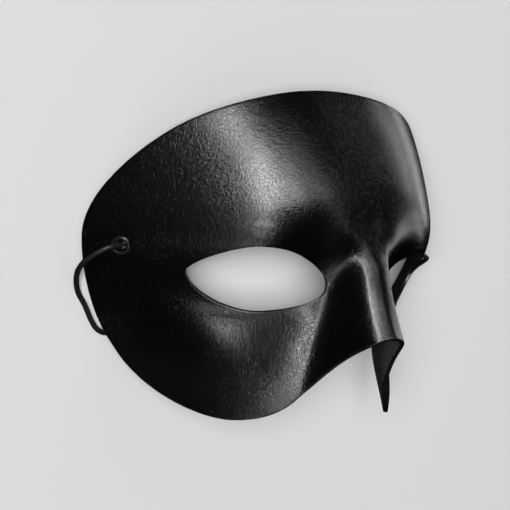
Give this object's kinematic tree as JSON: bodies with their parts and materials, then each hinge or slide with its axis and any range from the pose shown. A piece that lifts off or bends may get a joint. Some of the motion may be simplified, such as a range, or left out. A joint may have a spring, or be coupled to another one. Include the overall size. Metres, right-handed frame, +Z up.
{
  "type": "leather mask",
  "caption": "Moulded black leather half mask with almond eye holes, a nose arch, cheek lobes, temple eyelets and an elastic head cord.",
  "frame": {"origin": "on the table under the middle of the leather's own box, the cord left out", "axes": "+X to the mask's right half as seen from in front, +Y towards the forehead edge, +Z up out of the face; the mask lies hollow side down"},
  "size_m": [0.1824, 0.1226, 0.082],
  "materials": {
    "leather": "fine pebbled grain, semi-gloss",
    "eyelet": "black lacquer, glossy",
    "elastic": "round braided elastic, dull sheen"
  },
  "bodies": {
    "root": {"mask_shell": "leather", "eyelet_right": "eyelet", "eyelet_left": "eyelet", "cord_knot_right": "elastic", "cord_knot_left": "elastic", "elastic_cord": "elastic"}
  },
  "joints": []
}
